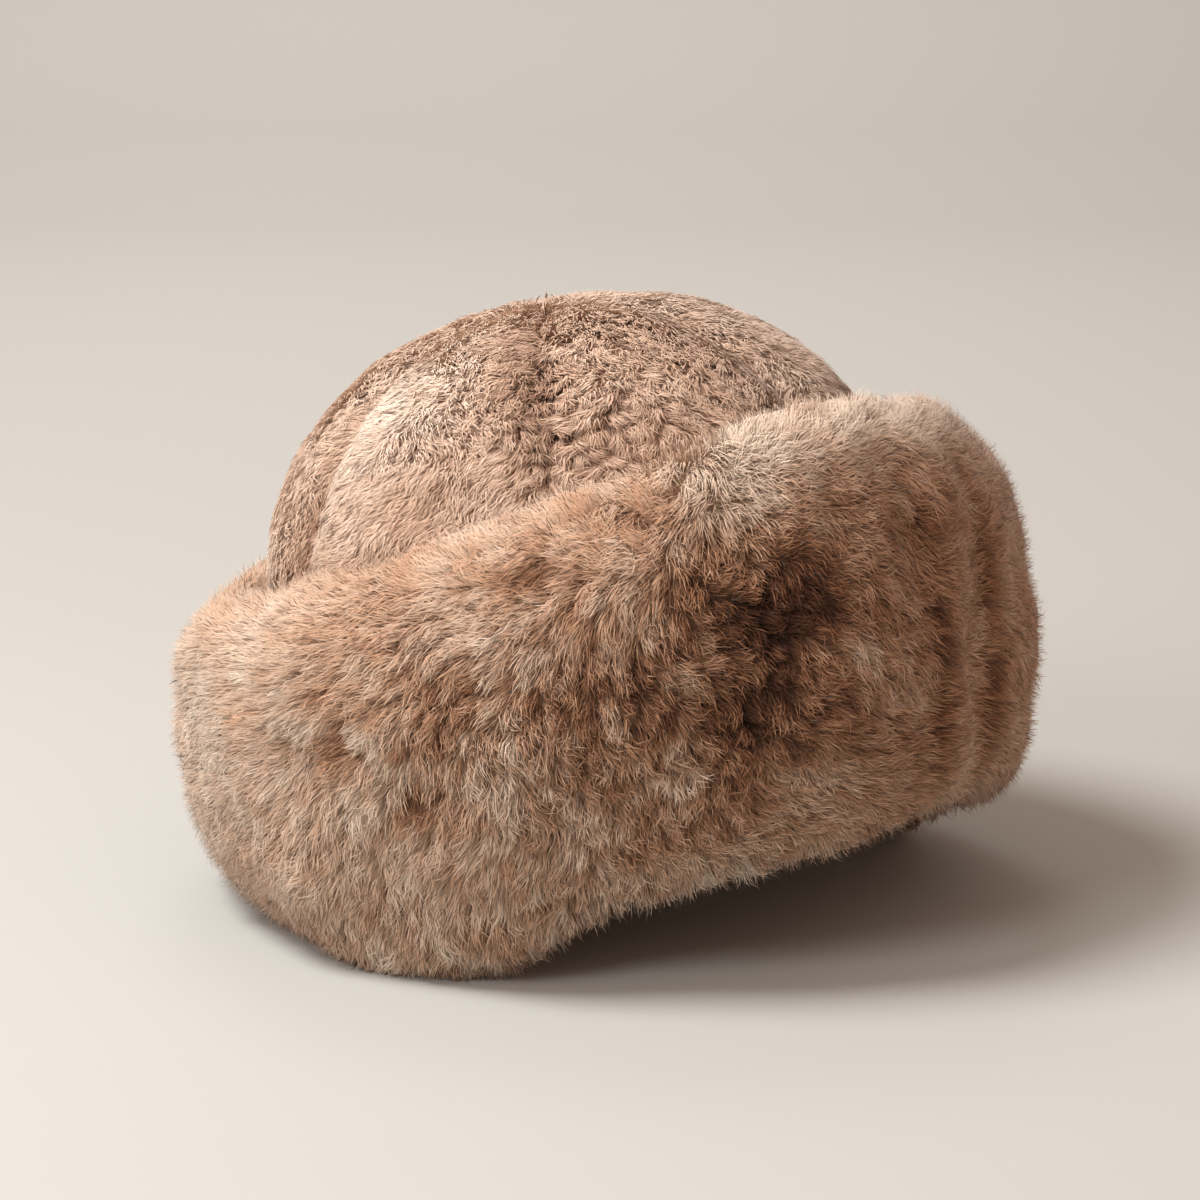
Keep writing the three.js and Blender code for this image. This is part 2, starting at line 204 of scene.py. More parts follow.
def crown_point(angle, turn, out=0.0):
    """A place on the crown. turn is 0 at the dome's foot, 90 at its top and below 0 on
    the wall, and out is millimetres out from the fleece's own surface."""
    below = np.minimum(turn, 0) * math.radians(DOME_HEIGHT)
    spread = dome_spread(turn)
    rise = np.sin(np.radians(np.clip(turn, 0, 90)))
    place = np.mod(angle - FIRST_SEAM_ANGLE, GORE_ANGLE)
    furrow = SEAM_FURROW_DEPTH * bell(seam_distance(angle, turn), SEAM_FURROW_WIDTH)
    swell = GORE_SWELL * np.sin(np.pi * place / GORE_ANGLE) * np.minimum(1, spread * SWELL_FADE)
    outset = CROWN_WALL + swell - furrow + out
    local = np.stack([
        (HEAD_LENGTH / 2 + outset) * spread * np.cos(np.radians(angle)),
        (HEAD_WIDTH / 2 + outset) * spread * np.sin(np.radians(angle)),
        WALL_HEIGHT + below + (DOME_HEIGHT - CROWN_WALL + outset) * rise,
    ], axis=-1)
    return local @ LEAN.T + RIM_CENTRE + HAT_MIDDLE


def section_value(column, angle):
    """A column of the cuff's table at any angle, smoothly between its rows."""
    values = CUFF_SECTIONS[:, CUFF_COLUMNS.index(column)]
    count = len(values)
    place = np.mod(angle, FULL_TURN) * count / FULL_TURN
    first = np.floor(place).astype(int)
    t = place - first
    before, here, after, beyond = (values[(first + shift) % count] for shift in (-1, 0, 1, 2))
    slope_here = (after - before) / 2
    slope_after = (beyond - here) / 2
    return (
        (2 * t ** 3 - 3 * t ** 2 + 1) * here + (t ** 3 - 2 * t ** 2 + t) * slope_here
        + (3 * t ** 2 - 2 * t ** 3) * after + (t ** 3 - t ** 2) * slope_after
    )


def groove_depth(angle):
    depth = 0.0
    for place, deep, half_width in CUFF_GROOVES:
        depth = depth + deep * bell(turned(angle, place), half_width)
    return depth


def cuff_skin(angle, turn):
    """A place on the cuff's own surface. turn is -90 at its lower edge, 0 where it is
    widest and 90 at its crest. Past 90 it runs in to the crown, and below -90 to the rim."""
    low = section_value("low", angle)
    foot = section_value("foot", angle)
    bulge = section_value("bulge", angle)
    wide = section_value("wide", angle) - groove_depth(angle)
    crest = section_value("crest", angle)
    top = section_value("top", angle)
    on_front = np.clip(turn, -90, 90)
    across = np.abs(np.cos(np.radians(on_front))) ** (2 / CUFF_ROUNDNESS)
    up = np.abs(np.sin(np.radians(on_front))) ** (2 / CUFF_ROUNDNESS)
    below = turn < 0
    edge_radius = np.where(below, foot, top)
    edge_height = np.where(below, low, crest)
    radius = edge_radius + (wide - edge_radius) * across
    height = bulge + (edge_height - bulge) * up
    past_top = fade(turn, 90, EDGE_TURN)
    radius = radius - past_top * (top - CUFF_INNER_RADIUS)
    height = height - past_top * CREST_DROP
    past_foot = fade(-turn, 90, EDGE_TURN)
    rim = crown_point(angle, np.full_like(angle, CROWN_RIM_TURN)) - HAT_MIDDLE
    rim_radius = np.hypot(rim[..., 0], rim[..., 1]) - RIM_INSET
    radius = radius + past_foot * (rim_radius - foot)
    height = height + past_foot * (rim[..., 2] + RIM_LIFT - low)
    place = np.stack([
        radius * np.cos(np.radians(angle)),
        radius * np.sin(np.radians(angle)),
        height,
    ], axis=-1)
    return place + HAT_MIDDLE


# Places where the fur differs: the angle and turn of the middle, how far it reaches each
# way in degrees, how much paler it is, how long the fur is there, and how many
# millimetres it dips. Some of them are painted light and shade, as marked.
CUFF_PATCHES = (
    (294, 18, 11, 19, -0.52, 0.62, 2.5),
    (285, 31, 5, 12, -0.16, 0.8, 0.5),
    (299, 34, 7, 9, -0.14, 0.8, 0.5),
    (253, 14, 9, 12, -0.2, 0.8, 1.5),
    (273, 13, 8, 9, -0.18, 0.8, 1.0),
    (232.5, 5, 2.6, 6, -0.3, 0.8, 2.0),
    (244.5, -7, 2.6, 5, -0.3, 0.8, 2.0),
    (260.5, 45, 2.2, 7, -0.25, 0.9, 1.5),
    (289.5, 1, 4, 5, -0.25, 0.8, 1.5),
    (320, 36, 4, 14, -0.15, 0.9, 1.0),
    (306, 12, 3.2, 4, 0.35, 1.0, -2.0),
    # Painted shade: the next two make the fur darker down the two upright grooves, for the shade in
    # their hollows
    (334.5, 0, 1.6, 50, -0.26, 0.9, 1.5),
    (321, 0, 1.6, 40, -0.22, 0.9, 1.0),
    # Painted shade: the next two darken the cuff's right side, which faces away from the light, and
    # its front low under the bulge
    (320, -10, 38, 45, -0.12, 1.0, 0.0),
    (280, -25, 26, 28, -0.12, 1.0, 0.0),
    # Painted light: the cuff's left side, which faces the light, is made paler
    (202, 10, 42, 50, 0.14, 1.0, 0.0),
    (262, 60, 16, 14, -0.12, 1.0, 0.0),
    # Painted highlight: the right of the crest is made paler where the light falls on its top
    (310, 74, 30, 20, 0.32, 1.0, 0.0),
    (238, 44, 16, 14, -0.12, 1.0, 0.0),
    (255, -45, 18, 20, 0.2, 1.0, 0.0),
    (275, 25, 3.5, 7, 0.14, 1.0, 0.0),
    (215, -25, 20, 25, 0.07, 1.0, 0.0),
)
CROWN_PATCHES = (
    (222, 48, 26, 22, 0.17, 1.0, 0.0),
    (258, 62, 14, 14, -0.15, 1.0, 0.0),
    (266, 50, 9, 10, -0.14, 1.0, 0.0),
    (278, 34, 12, 10, -0.12, 1.0, 0.0),
    (207, 20, 6, 30, -0.25, 1.0, 0.0),
    (240, 24, 15, 14, -0.07, 1.0, 0.0),
    (340, 45, 25, 25, 0.06, 1.0, 0.0),
)


def patches(places, angle, turn):
    """How much paler, how long and how deep the fur is, place by place."""
    paler = np.zeros(len(angle))
    length = np.ones(len(angle))
    dip = np.zeros(len(angle))
    for middle, height, reach_round, reach_up, shade, long, deep in places:
        gap = turned(angle, middle)
        near = np.exp(-(gap / reach_round) ** 2 - ((turn - height) / reach_up) ** 2)
        paler += shade * near
        length *= 1 - (1 - long) * near
        dip += deep * near
    return paler, length, dip


def outer_way(point_at, angle, turn):
    """The way straight out of a surface."""
    step = 0.5
    by_angle = point_at(angle + step, turn) - point_at(angle - step, turn)
    by_turn = point_at(angle, turn + step) - point_at(angle, turn - step)
    return unit(np.cross(by_angle, by_turn))


# Soft lumps of each coat: how deep, over how many millimetres, and the seed
CUFF_LUMPS = ((3.0, 34, 81), (1.9, 15, 82))
FLEECE_LUMPS = ((1.1, 24, 83), (0.7, 10, 84))

# How much fleece fills the seams' furrows near the top, from which turn and over how many
FURROW_FILL = 2.5
FILL_FROM_TURN = 35
FILL_OVER_TURN = 30


def lumps_at(skin, lumps):
    return sum(depth * noise(skin, size, seed) for depth, size, seed in lumps)


def cuff_point(angle, turn):
    """A place on the cuff, with the soft lumps and hollows of its fur."""
    skin = cuff_skin(angle, turn)
    lumps = lumps_at(skin, CUFF_LUMPS)
    dip = patches(CUFF_PATCHES, angle, turn)[2]
    return skin + outer_way(cuff_skin, angle, turn) * (lumps - dip)[:, None]


def fleece_point(angle, turn):
    """A place on the crown, with the soft lumps of its fleece."""
    skin = crown_point(angle, turn)
    lumps = lumps_at(skin, FLEECE_LUMPS)
    near_top = fade(turn, FILL_FROM_TURN, FILL_OVER_TURN)
    lumps = lumps + FURROW_FILL * near_top * bell(seam_distance(angle, turn), SEAM_FURROW_WIDTH)
    return skin + outer_way(crown_point, angle, turn) * lumps[:, None]


GRID_STEP = 1.2
LINE_POINTS = 200
LINE_ANGLE = 30.0


class Coat:
    """A surface unrolled, a millimetres round the hat and b up it. Its places, the ways
    out of it and the ways along it are kept on a grid."""

    def __init__(self, point_at, mean_radius, low_turn, high_turn):
        self.round = 2 * math.pi * mean_radius
        self.turns = np.linspace(low_turn, high_turn, LINE_POINTS)
        angles = np.arange(0, FULL_TURN, LINE_ANGLE)
        lines = [point_at(np.full(LINE_POINTS, angle), self.turns) for angle in angles]
        steps = np.mean([np.linalg.norm(np.diff(line, axis=0), axis=1) for line in lines], axis=0)
        self.lengths = np.concatenate([[0], np.cumsum(steps)])
        self.height = self.lengths[-1]
        self.columns = round(self.round / GRID_STEP)
        self.rows = round(self.height / GRID_STEP) + 1
        self.step_a = self.round / self.columns
        self.step_b = self.height / (self.rows - 1)
        at_a = np.arange(self.columns) * self.step_a
        at_b = np.arange(self.rows) * self.step_b
        a, b = np.meshgrid(at_a, at_b, indexing="ij")
        points = point_at(*self.place(a.ravel(), b.ravel())).reshape(self.columns, self.rows, 3)
        round_way = (np.roll(points, -1, axis=0) - np.roll(points, 1, axis=0)) / (2 * self.step_a)
        up_way = np.gradient(points, self.step_b, axis=1)
        across = np.cross(round_way, up_way)
        self.areas = np.linalg.norm(across, axis=-1, keepdims=True)
        self.points = points
        self.outs = unit(across)
        self.round_ways = unit(round_way)
        self.up_ways = unit(up_way)

    def place(self, a, b):
        """The angle and turn of an unrolled place."""
        return a / self.round * FULL_TURN, np.interp(b, self.lengths, self.turns)

    def unrolled(self, angle, turn):
        """The unrolled place of an angle and a turn."""
        return angle / FULL_TURN * self.round, np.interp(turn, self.turns, self.lengths)

    def look_up(self, grid, a, b):
        """What a grid holds at any place, evenly between its points."""
        at_a = np.mod(a, self.round) / self.step_a
        at_b = np.clip(b / self.step_b, 0, self.rows - 1.001)
        low_a = np.floor(at_a).astype(int)
        low_b = np.floor(at_b).astype(int)
        part_a = (at_a - low_a)[:, None]
        part_b = (at_b - low_b)[:, None]
        low_a = low_a % self.columns
        next_a = (low_a + 1) % self.columns
        near = grid[low_a, low_b] * (1 - part_b) + grid[low_a, low_b + 1] * part_b
        far = grid[next_a, low_b] * (1 - part_b) + grid[next_a, low_b + 1] * part_b
        return near * (1 - part_a) + far * part_a

    def point(self, a, b, out):
        """The place that is out millimetres off an unrolled place."""
        return self.look_up(self.points, a, b) + self.look_up(self.outs, a, b) * out[:, None]

    def on_coat(self, a, b):
        return self.point(a, b, np.zeros(len(a)))


TUFT_MARGIN = 0.1
TUFT_REACH = 0.75


def nearest_tuft(coat, a, b, size, seed):
    """The middle of the tuft that each strand belongs to, how near that middle it is, from
    0 to 1, and a number for each tuft."""
    columns = max(1, round(coat.round / size))
    wide = coat.round / columns
    cell_a = np.floor(a / wide)
    cell_b = np.floor(b / size)
    best = np.full(len(a), np.inf)
    middle_a = np.zeros(len(a))
    middle_b = np.zeros(len(a))
    number = np.zeros(len(a))
    scatter = 1 - 2 * TUFT_MARGIN
    for step_a in (-1, 0, 1):
        for step_b in (-1, 0, 1):
            at_a = cell_a + step_a
            at_b = cell_b + step_b
            wrapped = np.mod(at_a, columns)
            here_a = (at_a + TUFT_MARGIN + scatter * hashed(wrapped, at_b, seed)) * wide
            here_b = (at_b + TUFT_MARGIN + scatter * hashed(wrapped, at_b, seed + 1)) * size
            gap = (here_a - a) ** 2 + (here_b - b) ** 2
            closer = gap < best
            best = np.where(closer, gap, best)
            middle_a = np.where(closer, here_a, middle_a)
            middle_b = np.where(closer, here_b, middle_b)
            number = np.where(closer, wrapped + at_b * columns, number)
    nearness = 1 - np.clip(np.sqrt(best) / (TUFT_REACH * size), 0, 1)
    return (middle_a, middle_b), nearness, number


# Strands

# A kind of strand: its length, how deep its root is under the coat, how much higher it
# lies than others, how early it and a stray one bend over, its width at each row, and how
# far along it each row is
Kind = namedtuple("Kind", "length root_depth lift bend stray_bend widths rows")

# Strands of one kind before they have a shape: where they stand on their coat, which of
# them are stray, the middles of their tufts, and how wide a tuft is
Roots = namedtuple("Roots", "coat kind a b stray tuft tuft_size")

# How many more roots are drawn than kept, the percentile of density where all are kept,
# and how late along a strand its tuft draws it in
SPARE_ROOTS = 3.2
FULL_COVER = 98
GATHER_LATE = 1.3

# How far the ends of a strand's map stay from its edge, and half its width there
MAP_MARGIN = 0.02
MAP_HALF_WIDTH = 0.008
FLOOR_CLEARANCE = 0.4

# Limits of the tones, and how the strands' widths and facings vary
PALEST = 0.98
DARKEST = 0.02
STRAY_WIDTH = 0.6
NARROWEST = 0.7
WIDTH_SCATTER = 0.6
FACING_SCATTER = 0.3


def scatter_roots(coat, count, density, rng):
    """Roots spread evenly over the surface, thinned by the density there."""
    many = int(count * SPARE_ROOTS)
    a = rng.random(many) * coat.round
    b = rng.random(many) * coat.height
    weight = coat.look_up(coat.areas, a, b)[:, 0] * density(a, b)
    chance = weight / np.percentile(weight, FULL_COVER)
    keep = np.flatnonzero(rng.random(many) < chance)[:count]
    return a[keep], b[keep]


def strand_paths(roots, run, rise, gather, curl):
    """Points along each strand, from its root to its tip, and the way out of the coat at
    each. run is how far it reaches along the unrolled surface each way, rise is how far
    out its tip stands, and gather is how far the tip is drawn to the middle of its tuft.
    A bend of 1 rises all along the strand, and a larger one rises early and lies flat."""
    coat, kind, a, b, stray, (tuft_a, tuft_b), _ = roots
    wave_size, wave_count, wave_start = curl
    side = unit(run)
    bend = np.where(stray, kind.stray_bend, kind.bend)
    paths = []
    outs = []
    for share in kind.rows:
        pull = gather * share ** GATHER_LATE
        sway = wave_size * share * np.sin(2 * np.pi * (wave_count * share + wave_start))
        at_a = a + run[:, 0] * share + (tuft_a - a) * pull - side[:, 1] * sway
        at_b = b + run[:, 1] * share + (tuft_b - b) * pull + side[:, 0] * sway
        climb = np.sin(np.minimum(share * bend, 1) * np.pi / 2)
        out = (rise + kind.root_depth) * climb - kind.root_depth
        way = coat.look_up(coat.outs, at_a, at_b)
        outs.append(way)
        paths.append(coat.look_up(coat.points, at_a, at_b) + way * out[:, None])
    return np.stack(paths, axis=1), np.stack(outs, axis=1)


def tuft_tilt(roots):
    """How far the coat's way out tips over at each root, so that a tuft is a soft mound."""
    coat, _, a, b, _, (tuft_a, tuft_b), size = roots
    over_a = (a - tuft_a) / size
    over_b = (b - tuft_b) / size
    round_way = coat.look_up(coat.round_ways, a, b)
    up_way = coat.look_up(coat.up_ways, a, b)
    return round_way * over_a[:, None] + up_way * over_b[:, None]


def ribbon_corners(rows):
    """The corners of one ribbon's faces, each face in turn, and where each corner is across
    the ribbon, -1 to 1. Rows have two points each, and the tip has one."""
    corners = []
    for row in range(rows - 2):
        corners += [row * 2, row * 2 + 1, row * 2 + 3, row * 2 + 2]
    last = (rows - 2) * 2
    tip = last + 2
    corners += [last, last + 1, tip]
    across = [0 if corner == tip else (corner % 2) * 2 - 1 for corner in corners]
    return corners, across


def ribbons(paths, outs, tilt, widths, facing, tone):
    """Tapering ribbons along the paths, as arrays for one mesh. Each ribbon's place on its
    map is its tone across and how far from the root it is up."""
    count, rows, _ = paths.shape
    along = unit(np.gradient(paths, axis=1))
    side = unit(np.cross(along, facing[:, None, :]))
    half = widths[:, :, None] / 2
    each = rows * 2 - 1
    points = np.empty((count, each, 3))
    points[:, 0:-1:2] = (paths - side * half)[:, :-1]
    points[:, 1:-1:2] = (paths + side * half)[:, :-1]
    points[:, -1] = paths[:, -1]
    points[:, :, 2] = np.maximum(points[:, :, 2], FLOOR_CLEARANCE)
    normals = np.empty((count, each, 3))
    soft = unit(outs + tilt[:, None, :])
    normals[:, 0:-1:2] = soft[:, :-1]
    normals[:, 1:-1:2] = soft[:, :-1]
    normals[:, -1] = soft[:, -1]
    corners, across = ribbon_corners(rows)
    up = np.linspace(MAP_MARGIN, 1 - MAP_MARGIN, rows)
    u = tone[:, None] + np.array(across)[None, :] * MAP_HALF_WIDTH
    v = np.broadcast_to(up[[corner // 2 for corner in corners]][None, :], u.shape)
    loops = np.arange(count)[:, None] * each + np.array(corners)[None, :]
    sizes = np.tile([4] * (rows - 2) + [3], count)
    places = np.stack([u.ravel(), v.ravel()], 1)
    return points.reshape(-1, 3), normals.reshape(-1, 3), loops.ravel(), sizes, places


def soft_ribbons(roots, paths, outs, mound, loose, tone, rng):
    """The ribbons of one kind of strand, uneven in width, facing and shade. mound is how
    far each tuft swells, and loose how far each strand's shade strays from it."""
    many = len(roots.a)
    by_stray = WIDER * np.where(roots.stray, STRAY_WIDTH, 1.0)
    uneven = by_stray * (NARROWEST + WIDTH_SCATTER * rng.random(many))
    widths = np.array(roots.kind.widths)[None, :] * uneven[:, None]
    facing = unit(outs[:, 0] + FACING_SCATTER * rng.standard_normal((many, 3)))
    tilt = mound[:, None] * tuft_tilt(roots)
    tilt = tilt + loose * rng.standard_normal((many, 3))
    return ribbons(paths, outs, tilt, widths, facing, np.clip(tone, DARKEST, PALEST))


def ribbon_mesh(name, *groups):
    """One mesh of all the ribbons of some groups, with the coat's normals on them."""
    first = 0
    loops = []
    for group in groups:
        loops.append(group[2] + first)
        first += len(group[0])
    points, normals, _, sizes, places = (np.concatenate(part) for part in zip(*groups))
    loops = np.concatenate(loops)
    mesh = bpy.data.meshes.new(name)
    mesh.vertices.add(len(points))
    mesh.vertices.foreach_set("co", (points * MM).astype(np.float32).ravel())
    mesh.loops.add(len(loops))
    mesh.loops.foreach_set("vertex_index", loops.astype(np.int32))
    mesh.polygons.add(len(sizes))
    starts = np.concatenate([[0], np.cumsum(sizes)[:-1]])
    mesh.polygons.foreach_set("loop_start", starts.astype(np.int32))
    mesh.polygons.foreach_set("use_smooth", np.ones(len(sizes), bool))
    layer = mesh.uv_layers.new(name="OFBake")
    layer.uv.foreach_set("vector", places.astype(np.float32).ravel())
    mesh.update()
    mesh.normals_split_custom_set_from_vertices(normals)
    thing = bpy.data.objects.new(name, mesh)
    bpy.context.scene.collection.objects.link(thing)
    return thing


def set_down(thing, material, nodes=()):
    """Gives a finished piece its material, its body and the solids it stands for."""
    thing.data.materials.clear()
    thing.data.materials.append(material)
    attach(thing, "root")
    if nodes:
        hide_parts(*nodes)


# Materials

def node(tree, kind, **values):
    made = tree.nodes.new(kind)
    for key, value in values.items():
        setattr(made, key, value)
    return made


def set_inputs(made, values):
    for title, value in values.items():
        made.inputs[title].default_value = value


def ramp(tree, stops):
    made = node(tree, "ShaderNodeValToRGB")
    band = made.color_ramp
    band.interpolation = "LINEAR"
    band.elements[0].position = stops[0][0]
    band.elements[0].color = (*stops[0][1], 1)
    band.elements[1].position = stops[-1][0]
    band.elements[1].color = (*stops[-1][1], 1)
    for place, colour in stops[1:-1]:
        band.elements.new(place).color = (*colour, 1)
    return made


NUMBER = "NodeSocketFloat"
WAY = "NodeSocketVector"


def group(name, inputs, outputs):
    """An empty shader group, with its way in and its way out."""
    tree = bpy.data.node_groups.new(name, "ShaderNodeTree")
    for title in inputs:
        tree.interface.new_socket(title, in_out="INPUT", socket_type=NUMBER)
    for title, kind in outputs:
        tree.interface.new_socket(title, in_out="OUTPUT", socket_type=kind)
    return tree, node(tree, "NodeGroupInput"), node(tree, "NodeGroupOutput")


ROOT_TO_TIP = ((0.0, (0, 0, 0)), (0.3, (0.35, 0.35, 0.35)), (0.7, (1, 1, 1)))


def strand_place_group():
    """A strand's tone and how far from its root a place is, from the strand's map."""
    tree, _, out = group("strand_place", (), (("Tone", NUMBER), ("Height", NUMBER)))
    where = node(tree, "ShaderNodeUVMap", uv_map="OFBake")
    split = node(tree, "ShaderNodeSeparateXYZ")
    height = ramp(tree, ROOT_TO_TIP)
    link = tree.links.new
    link(where.outputs["UV"], split.inputs["Vector"])
    link(split.outputs["X"], out.inputs["Tone"])
    link(split.outputs["Y"], height.inputs["Fac"])
    link(height.outputs["Color"], out.inputs["Height"])
    return tree


def nap_group():
    """A mottled, finely rough nap, its size and depth in metres."""
    tree, given, out = group("nap", ("Size", "Depth"), (("Mottle", NUMBER), ("Normal", WAY)))
    where = node(tree, "ShaderNodeTexCoord")
    scale = node(tree, "ShaderNodeMath", operation="DIVIDE")
    scale.inputs[0].default_value = 1.0
    mottle = node(tree, "ShaderNodeTexNoise")
    set_inputs(mottle, {"Detail": 5})
    bump = node(tree, "ShaderNodeBump")
    set_inputs(bump, {"Strength": 0.6})
    link = tree.links.new
    link(given.outputs["Size"], scale.inputs[1])
    link(scale.outputs["Value"], mottle.inputs["Scale"])
    link(where.outputs["Object"], mottle.inputs["Vector"])
    link(mottle.outputs["Fac"], bump.inputs["Height"])
    link(given.outputs["Depth"], bump.inputs["Distance"])
    link(mottle.outputs["Fac"], out.inputs["Mottle"])
    link(bump.outputs["Normal"], out.inputs["Normal"])
    return tree


STRAND_PLACE = strand_place_group()
NAP = nap_group()


def new_material(name, finish):
    material = bpy.data.materials.new(name)
    material.use_nodes = True
    shader = material.node_tree.nodes["Principled BSDF"]
    set_inputs(shader, finish)
    return material, material.node_tree, shader


FUR_FINISH = {
    "Roughness": 0.65,
    "Specular IOR Level": 0.3,
    "Sheen Weight": 0.2,
    "Sheen Roughness": 0.5,
}


def fur_material(name, roots, tips):
    """Strands whose colour follows their tone across the map and pales from root to tip."""
    material, tree, shader = new_material(name, FUR_FINISH)
    where = node(tree, "ShaderNodeGroup", node_tree=STRAND_PLACE)
    root_ramp = ramp(tree, roots)
    tip_ramp = ramp(tree, tips)
    blend = node(tree, "ShaderNodeMix", data_type="RGBA")
    link = tree.links.new
    link(where.outputs["Tone"], root_ramp.inputs["Fac"])
    link(where.outputs["Tone"], tip_ramp.inputs["Fac"])
    link(where.outputs["Height"], blend.inputs["Factor"])
    link(root_ramp.outputs["Color"], blend.inputs["A"])
    link(tip_ramp.outputs["Color"], blend.inputs["B"])
    link(blend.outputs["Result"], shader.inputs["Base Color"])
    return material


def nap_place(tree, size, depth):
    made = node(tree, "ShaderNodeGroup", node_tree=NAP)
    set_inputs(made, {"Size": size * MM, "Depth": depth * MM})
    return made


MOTTLE_SHARE = 0.5


def underfur_material(name, stops, size, depth):
    """The soft nap between the strands, in the tone that its mesh carries."""
    material, tree, shader = new_material(name, {"Roughness": 0.95})
    nap = nap_place(tree, size, depth)
    tone = node(tree, "ShaderNodeAttribute", attribute_name="tone")
    uneven = node(tree, "ShaderNodeMath", operation="MULTIPLY_ADD")
    uneven.inputs[1].default_value = MOTTLE_SHARE
    colours = ramp(tree, stops)
    link = tree.links.new
    link(nap.outputs["Mottle"], uneven.inputs[0])
    link(tone.outputs["Fac"], uneven.inputs[2])
    link(uneven.outputs["Value"], colours.inputs["Fac"])
    link(colours.outputs["Color"], shader.inputs["Base Color"])
    link(nap.outputs["Normal"], shader.inputs["Normal"])
    return material


def suede_material(name, dark, light, size, depth):
    """The skin side, mottled and finely rough."""
    material, tree, shader = new_material(name, {"Roughness": 0.9})
    nap = nap_place(tree, size, depth)
    colours = ramp(tree, ((0.3, dark), (0.7, light)))
    link = tree.links.new
    link(nap.outputs["Mottle"], colours.inputs["Fac"])
    link(colours.outputs["Color"], shader.inputs["Base Color"])
    link(nap.outputs["Normal"], shader.inputs["Normal"])
    return material


# Colours from the darkest fur to the palest, as a tone and its colour
CUFF_ROOTS = ((0.0, (0.03, 0.01, 0.004)), (0.5, (0.34, 0.19, 0.11)), (1.0, (0.6, 0.44, 0.31)))
CUFF_TIPS = (
    (0.0, (0.09, 0.029, 0.011)),
    (0.25, (0.335, 0.148, 0.068)),
    (0.5, (0.575, 0.33, 0.197)),
    (0.75, (0.71, 0.53, 0.395)),
    (1.0, (0.86, 0.74, 0.6)),
)
CROWN_ROOTS = ((0.0, (0.08, 0.033, 0.019)), (0.5, (0.56, 0.37, 0.26)), (1.0, (0.78, 0.64, 0.52)))
CROWN_TIPS = (
    (0.0, (0.15, 0.06, 0.035)),
    (0.25, (0.4, 0.22, 0.135)),
    (0.5, (0.64, 0.435, 0.305)),
    (0.75, (0.79, 0.63, 0.5)),
    (1.0, (0.88, 0.78, 0.67)),
)
UNDERFUR = ((0.25, (0.03, 0.01, 0.004)), (0.75, (0.33, 0.185, 0.11)), (1.0, (0.58, 0.42, 0.3)))
UNDERFLEECE = ((0.25, (0.08, 0.035, 0.02)), (0.75, (0.5, 0.32, 0.22)), (1.0, (0.74, 0.59, 0.47)))

cuff_fur = fur_material("cuff_fur", CUFF_ROOTS, CUFF_TIPS)
crown_fur = fur_material("crown_fleece", CROWN_ROOTS, CROWN_TIPS)
cuff_nap = underfur_material("cuff_underfur", UNDERFUR, 2.5, 1.2)
crown_nap = underfur_material("crown_underfleece", UNDERFLEECE, 2, 1)
suede = suede_material("skin_suede", (0.36, 0.24, 0.16), (0.46, 0.33, 0.23), 9, 0.3)


# The two coats and their tones

cuff_coat = Coat(cuff_point, CUFF_MEAN_RADIUS, CUFF_LOW_TURN, CUFF_HIGH_TURN)
crown_coat = Coat(fleece_point, CROWN_MEAN_RADIUS, CROWN_LOW_TURN, CROWN_HIGH_TURN)

# Where the cuff is rough and tufted: the angle of the middle and how far it reaches, and
# its turn and how far it reaches. Elsewhere it is as rough as LEAST_ROUGH.
ROUGH_PLACES = ((276, 46, 2, 42), (262, 44, -60, 40))
LEAST_ROUGH = 0.25

# The crown's curls: their angle and reach, and their turn and reach
CURLY_PLACE = (276, 16, 38, 16)

# How pale each coat is, and how much its clouds and flecks and its seams change that
CUFF_PALENESS = 0.6
CUFF_CLOUDS = 0.09
CUFF_FLECKS = (0.05, 0.2)
CROWN_PALENESS = 0.57
CROWN_CLOUDS = 0.08
CROWN_FLECKS = 0.05
CROWN_SEAM_SHADE = 0.08
CROWN_SEAM_WIDTH = 4.0


def mix(pair, share):
    """The first of a pair of measures, and a share of what the second adds to it."""
    return pair[0] + pair[1] * share


def near_place(place, angle, turn):
    """How near the middle of a place the fur is, 1 at the middle."""
    middle, reach_round, height, reach_up = place
    return bell(angle - middle, reach_round) * bell(turn - height, reach_up)


def roughness(angle, turn):
    """How rough and tufted the cuff's coat is: 1 at the front and low down, less elsewhere."""
    front, low = (near_place(place, angle, turn) for place in ROUGH_PLACES)
    return LEAST_ROUGH + (1 - LEAST_ROUGH) * np.maximum(front, low)


def cuff_tone(angle, turn, spot):
    """How pale the cuff's fur is, place by place, with the painted light and shade of some of its
    patches.
    """
    flecks = mix(CUFF_FLECKS, roughness(angle, turn))
    tone = CUFF_PALENESS + CUFF_CLOUDS * noise(spot, 36, 31) + flecks * noise(spot, 11, 32)
    return tone + patches(CUFF_PATCHES, angle, turn)[0]


def crown_tone(angle, turn, spot):
    """How pale the crown's fleece is, place by place."""
    near_seam = bell(seam_distance(angle, turn), CROWN_SEAM_WIDTH)
    tone = CROWN_PALENESS + CROWN_CLOUDS * noise(spot, 30, 71) + CROWN_FLECKS * noise(spot, 9, 72)
    return tone - CROWN_SEAM_SHADE * near_seam + patches(CROWN_PATCHES, angle, turn)[0]


# The forms under the fur

def active():
    return bpy.context.view_layer.objects.active


def clear_choice():
    bpy.ops.object.select_all(action="DESELECT")


def shaped(thing, points, tone):
    """Moves a new piece's points to their places, and keeps the fur's tone there."""
    thing.data.vertices.foreach_set("co", (points * MM).astype(np.float32).ravel())
    layer = thing.data.attributes.new("tone", "FLOAT", "POINT")
    layer.data.foreach_set("value", tone.astype(np.float32))
    thing.data.update()


UNDERFUR_DEPTH = 3.2
UNDERFUR_CLEARANCE = 1.5
UNDERFUR_HIGH_TURN = 90 + EDGE_TURN * 0.7
CUFF_STEPS_ROUND = 180
CUFF_STEPS_UP = 56


